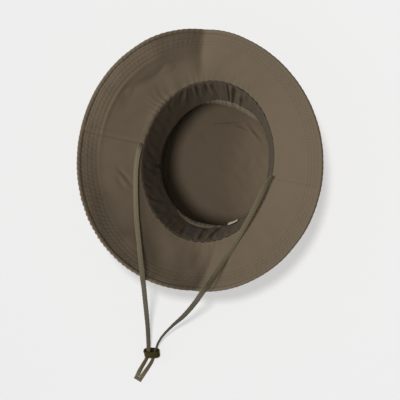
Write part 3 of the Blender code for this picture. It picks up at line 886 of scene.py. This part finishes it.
def add_hat_band():
    """Webbing sewn down at intervals, standing off between the stitches so that it makes loops."""
    angle, height = grid(steps_round(720), np.linspace(*LOOP_BAND_HEIGHTS, 12))
    points = wall_at(angle, height)
    normal = normals_of(points)
    phase = (angle * LOOPS / tau) % 1.0
    stand = 0.0004 + 0.0016 * np.sin(pi * phase) ** 0.6
    ribs = 0.00008 * np.cos(tau * (height - LOOP_BAND_HEIGHTS[0]) / RIB_PITCH)
    low = points + normal * (WALL_CLOTH + stand)[..., None]
    high = low + normal * (0.0008 + ribs)[..., None]
    band = add_layer("loop_band", low, high, webbing_cloth)
    on_hat(band, "band_webbing", "hat_band")
    lines = []
    levels = np.linspace(LOOP_BAND_HEIGHTS[0] + 0.0005, LOOP_BAND_HEIGHTS[1] - 0.0005, 24)
    for at in steps_round(LOOPS):
        line = wall_at(np.full(24, at), levels)
        ahead = wall_at(np.full(24, at + 0.01), levels) - line
        out = unit(np.cross(ahead, np.gradient(line, axis=0)))
        lines.append((line + out * (WALL_CLOTH + 0.0013), out))
    bars = add_stitches(
        "loop_band_bar_tacks", lines, thread, length=0.0011, gap=0.0001, radius=0.00045
    )
    on_hat(bars, "band_webbing")


def add_vents():
    """Rolled metal eyelets, each turned about the axis of its own hole."""
    bend = np.linspace(0, pi, 7)
    profile = (  # radius, place along the axis
        (0.0019, -0.0009), *zip(0.0031 - 0.0012 * np.cos(bend), 0.0010 + 0.0005 * np.sin(bend)),
        (0.0043, 0.0010), (0.0026, 0.0010), (0.0026, -0.0004), (0.0043, -0.0004), (0.0042, -0.0009),
    )
    steps = 40
    local = turned_section([(along, radius, radius) for radius, along in profile], steps)
    for node in ("vent_left_back", "vent_left_front", "vent_right_back", "vent_right_front"):
        low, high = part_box(node)
        middle = (low + high) / 2
        angle = np.arctan2(middle.y - CROWN_CENTRE[1], middle.x - CROWN_CENTRE[0])
        side = wall_at(angle + 0.01, 0.040) - wall_at(angle - 0.01, 0.040)
        rise = wall_at(angle, 0.044) - wall_at(angle, 0.036)
        out = Vector(np.cross(side, rise)).normalized()
        turned = np.array(out.to_track_quat("Z", "Y").to_matrix())
        points = local @ turned.T + np.array(middle) - np.array(out) * 0.0003
        uvs = points[..., :2]
        eyelet = add_mesh(node + "_eyelet", points, ring_faces(steps, len(profile)), vent_metal, uvs)
        on_hat(eyelet, "vent_metal", node)


# ---- chin strap


def smooth_route(points, spacing):
    """Evenly spaced points on a smooth curve through the route's own points."""
    places = np.array(points)
    places = np.vstack((2 * places[0] - places[1], places, 2 * places[-1] - places[-2]))
    fine = []
    for a, b, c, d in zip(places, places[1:], places[2:], places[3:]):
        for t in np.arange(20) / 20:
            fine.append(
                0.5 * (2 * b + (c - a) * t + (2 * a - 5 * b + 4 * c - d) * t**2
                       + (3 * b - a - 3 * c + d) * t**3)
            )
    fine = np.array([*fine, places[-2]])
    along = lengths_along(fine)
    at = np.linspace(0, along[-1], max(4, round(along[-1] / spacing)) + 1)
    return joined(*(np.interp(at, along, fine[:, k]) for k in range(3)))


def add_tape(name, route, rolls, node, width=STRAP_WIDTH, resting=-1.0):
    """A flat woven tape; rolls says how far it has turned onto its edge, as (share of length, degrees).

    It narrows towards the slider, and lies on the brim for the share of its length called resting.
    """
    path = smooth_route(route, 0.0015)
    count = len(path)
    share = np.linspace(0, 1, count)
    tangent = unit(np.gradient(path, axis=0))
    flat = unit(np.cross(tangent, (0, 0, 1.0)))
    face = np.cross(flat, tangent)
    roll = np.radians(np.interp(share, *zip(*rolls)))[:, None]
    wide = flat * np.cos(roll) + face * np.sin(roll)
    deep = np.cross(wide, tangent)
    section = 16
    turn = steps_round(section)
    x = width / 2 * squared(np.cos(turn), 0.55)
    y = STRAP_THICKNESS / 2 * squared(np.sin(turn), 0.75)
    length = lengths_along(path)[-1]
    pinch = 1 - 0.05 * np.cos(tau * share * length / 0.021) ** 2
    pinch *= np.interp(share, (0.75, 0.97), (1, TAIL_WIDTH / width))
    lower = STRAP_LIE / (1 + np.exp((share - resting) / 0.02))
    points = (
        path[:, None] - face[:, None] * lower[:, None, None]
        + wide[:, None] * (x[None, :] * pinch[:, None])[..., None]
        + deep[:, None] * y[None, :, None]
    )
    uvs = joined((share * length)[:, None], (turn * width / pi)[None, :])
    faces = ring_faces(count, section, whole=False) + cap(section, count)
    tape = add_mesh(name, points, faces, strap_cloth, uvs)
    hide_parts(node)
    return tape


def add_slider():
    """An oval barrel with a rim at each mouth, a groove, and a bore for both strands."""
    outside = (  # place along the barrel, half width, half depth
        (-0.0050, 0.0090, 0.0040), (-0.0049, 0.0095, 0.0045), (-0.0045, 0.0099, 0.0049),
        (-0.0038, 0.01005, 0.0050), (-0.0026, 0.01015, 0.0051), (-0.0008, 0.01015, 0.0051),
        (0.0000, 0.01005, 0.0050), (0.0004, 0.0097, 0.0046), (0.0008, 0.0095, 0.0044),
        (0.0014, 0.0095, 0.0044), (0.0018, 0.0098, 0.0047), (0.0021, 0.0103, 0.0051),
        (0.0028, 0.0105, 0.0052), (0.0040, 0.0105, 0.0052), (0.0046, 0.0103, 0.0051),
        (0.0050, 0.0098, 0.0046),
    )
    bore = (
        (0.0050, 0.0092, 0.0040), (0.0047, 0.0088, 0.0036), (0.0040, 0.0085, 0.0033),
        (0.0000, 0.0084, 0.0032), (-0.0040, 0.0085, 0.0033), (-0.0050, 0.0087, 0.0037),
    )
    section = outside + bore
    steps = 96
    points = turned_section(section, steps, 0.72, 0.78)
    upright = Matrix.Rotation(-(pi / 2 - SLIDER_TILT), 3, "X")
    turned = np.array(Matrix.Rotation(SLIDER_TURN, 3, "Z") @ upright)
    uvs = points[..., :2]
    points = points @ turned.T + SLIDER_CENTRE
    slider = add_mesh("barrel_slider", points, ring_faces(steps, len(section)), slider_plastic, uvs)
    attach(slider, "slider")
    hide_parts("strap_slider")
    return slider


def add_tack():
    """The squared sewn end: two tapes pressed flat together, with a box of stitches."""
    across, along, thick = 0.0104, 0.0046, 0.0021
    steps_x, steps_y = 25, 13
    x, y = grid(np.linspace(-0.5, 0.5, steps_x) * across, np.linspace(-0.5, 0.5, steps_y) * along)
    rim = np.minimum(across / 2 - np.abs(x), along / 2 - np.abs(y))
    swell = 1 - 0.45 * bell(rim, 0.0005) - 0.22 * bell(x, 0.0006) - 0.10 * bell(rim - 0.0012, 0.0003)
    top = joined(x, y, thick / 2 * swell)
    low = joined(x, y, -thick / 2 * (1 - 0.3 * bell(rim, 0.0005)))
    points = np.concatenate((top, low[:, ::-1]), axis=1)
    around = 2 * steps_y
    faces = ring_faces(steps_x, around, whole=False)
    for k, flip in ((0, False), (steps_x - 1, True)):
        for i in range(steps_y - 1):
            face = [k * around + v for v in (i, i + 1, around - 2 - i, around - 1 - i)]
            faces.append(face if flip else face[::-1])
    uvs = points[..., :2] + 0.01
    turned = np.array(Matrix.Rotation(TACK_TURN, 3, "Z"))
    placed = points @ turned.T + TACK_CENTRE
    tack = add_mesh("strap_sewn_end", placed, faces, strap_cloth, uvs)
    on_hat(tack, "strap_tape", "strap_end_tack")
    box = np.array(((-0.0036, -0.0012), (0.0036, -0.0012), (0.0036, 0.0012), (-0.0036, 0.0012),
                    (-0.0036, -0.0012)))
    line = np.array([np.interp(np.linspace(0, 4, 60), range(5), box[:, k]) for k in (0, 1)]).T
    line = np.hstack((line, np.full((60, 1), thick / 2 * 0.98)))
    line = line @ turned.T + TACK_CENTRE
    stitches = add_stitches(
        "strap_end_stitches", [(line, np.tile((0, 0, 1.0), (60, 1)))], dark_thread,
        length=0.0010, gap=0.0003, radius=0.00016,
    )
    on_hat(stitches, "strap_tape")
    return tack


def add_strap():
    """Two strands from the hat to the slider and two tails from it to the sewn end, which stays put."""
    slider = add_slider()
    tack = add_tack()
    left_rolls = ((0, 50), (0.03, -4), (0.10, -10), (0.18, -6), (0.3, 2), (0.8, 0), (1, 0))
    right_rolls = ((0, 50), (0.06, 16), (0.25, 6), (0.42, 12), (0.56, 32), (0.74, 44), (0.84, 66), (1, 80))
    for name, route, rolls, node, resting in (
        ("chin_strap_left", STRAP_LEFT, left_rolls, "strap_left", 0.46),
        ("chin_strap_right", STRAP_RIGHT, right_rolls, "strap_right", 0.47),
    ):
        strand = add_tape(name, route, rolls, node, resting=resting)
        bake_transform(strand)
    for name, route, rolls, node in (
        ("strap_end_left", TAIL_LEFT, ((0, 20), (0.3, 45), (0.7, 30), (1, 0)), "strap_tail_left"),
        ("strap_end_right", TAIL_RIGHT, ((0, 70), (0.3, 50), (0.7, 30), (1, 0)), "strap_tail_right"),
    ):
        tail = add_tape(name, route, rolls, node, width=TAIL_WIDTH)
        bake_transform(tail)


# ---- studio

VIEW_RIGHT = Vector((0.9653, 0.2612, 0.0)).normalized()
VIEW_DOWN = Vector((0.2612, -0.9653, 0.0)).normalized()
UP = Vector((0.0, 0.0, 1.0))
TARGET = Vector((0.0064, -0.0010, 0.088))
DISTANCE = 1.55
CAMERA_LEAN = (radians(10.5), radians(3.5))  # from upright, to the right and down in the view
LENS = 118.44  # millimetres, on a sensor 36 mm wide
LAMPS = (  # name, direction as (right, down, up) in the view, distance, size, watts, state of the floor
    ("key", (-1.25, -0.05, 0.85), 2.4, 1.1, 37.0, "EXCLUDE"),
    ("fill", (-0.17, 0.12, 1.0), 2.6, 0.9, 26.0, "EXCLUDE"),
    ("floor_lamp", (0.11, -0.10, 1.0), 2.6, 0.26, 22.6, "INCLUDE"),
)


def look(thing, target, up):
    """Turns a camera or light so that its -Z points at the target."""
    forward = (target - thing.location).normalized()
    across = forward.cross(up).normalized()
    level = across.cross(forward)
    thing.rotation_euler = Matrix((across, level, -forward)).transposed().to_euler()


def add_camera():
    lens = bpy.data.cameras.new("camera")
    lens.sensor_width = 36.0
    lens.lens = LENS
    lens.clip_end = 50.0
    camera = add_object("camera", lens)
    right, down = (tan(lean) for lean in CAMERA_LEAN)
    camera.location = TARGET + DISTANCE * (right * VIEW_RIGHT + down * VIEW_DOWN + UP)
    look(camera, TARGET - 0.009 * VIEW_RIGHT + 0.0432 * VIEW_DOWN, -VIEW_DOWN)
    bpy.context.scene.camera = camera


def add_lamp(name, direction, distance, size, watts, floor, floor_state):
    """A round area light; it either leaves the floor out or lights nothing but the floor."""
    data = bpy.data.lights.new(name, "AREA")
    data.shape = "DISK"
    data.size = size
    data.energy = watts
    lamp = add_object(name, data)
    right, down, up = direction
    target = Vector((0.0, -0.05, 0.05))
    towards = right * VIEW_RIGHT + down * VIEW_DOWN + up * UP
    lamp.location = target + distance * towards.normalized()
    look(lamp, target, VIEW_DOWN)
    lit = bpy.data.collections.new("lit_by_" + name)
    lit.objects.link(floor)
    lamp.light_linking.receiver_collection = lit
    lit.collection_objects[0].light_linking.link_state = floor_state


def add_floor():
    """A pale floor 12 m across, a hair below the hat."""
    corners = np.array(((-6, -6, -0.0003), (6, -6, -0.0003), (6, 6, -0.0003), (-6, 6, -0.0003)))
    material, tree, shader = nodes_for("studio_floor")
    noise = add_node(tree, "ShaderNodeTexNoise", Scale=3.0)
    base = mixed(tree, noise.outputs["Fac"], (0.80, 0.80, 0.80), (0.82, 0.82, 0.82))
    tree.links.new(base, shader.inputs["Base Color"])
    shader.inputs["Roughness"].default_value = 0.9
    shader.inputs["Specular IOR Level"].default_value = 0.1
    shader.inputs["Emission Color"].default_value = (1.0, 1.0, 1.0, 1.0)
    shader.inputs["Emission Strength"].default_value = 0.48
    floor = add_mesh("studio_floor", corners, [(0, 1, 2, 3)], material)
    return floor


def add_studio():
    scene = bpy.context.scene
    scene.view_settings.view_transform = "Standard"
    world = bpy.data.worlds.new("studio")
    world.use_nodes = True
    background = world.node_tree.nodes["Background"]
    background.inputs["Color"].default_value = (0.93, 0.93, 0.93, 1.0)
    background.inputs["Strength"].default_value = 0.17
    scene.world = world
    add_camera()
    floor = add_floor()
    for name, direction, distance, size, watts, floor_state in LAMPS:
        add_lamp(name, direction, distance, size, watts, floor, floor_state)


add_brim()
add_binding()
add_crown()
add_sweatband()
add_hat_band()
add_vents()
add_strap()
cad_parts["tip_seam_tape"].data.materials.clear()
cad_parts["tip_seam_tape"].data.materials.append(tape_cloth)
add_studio()
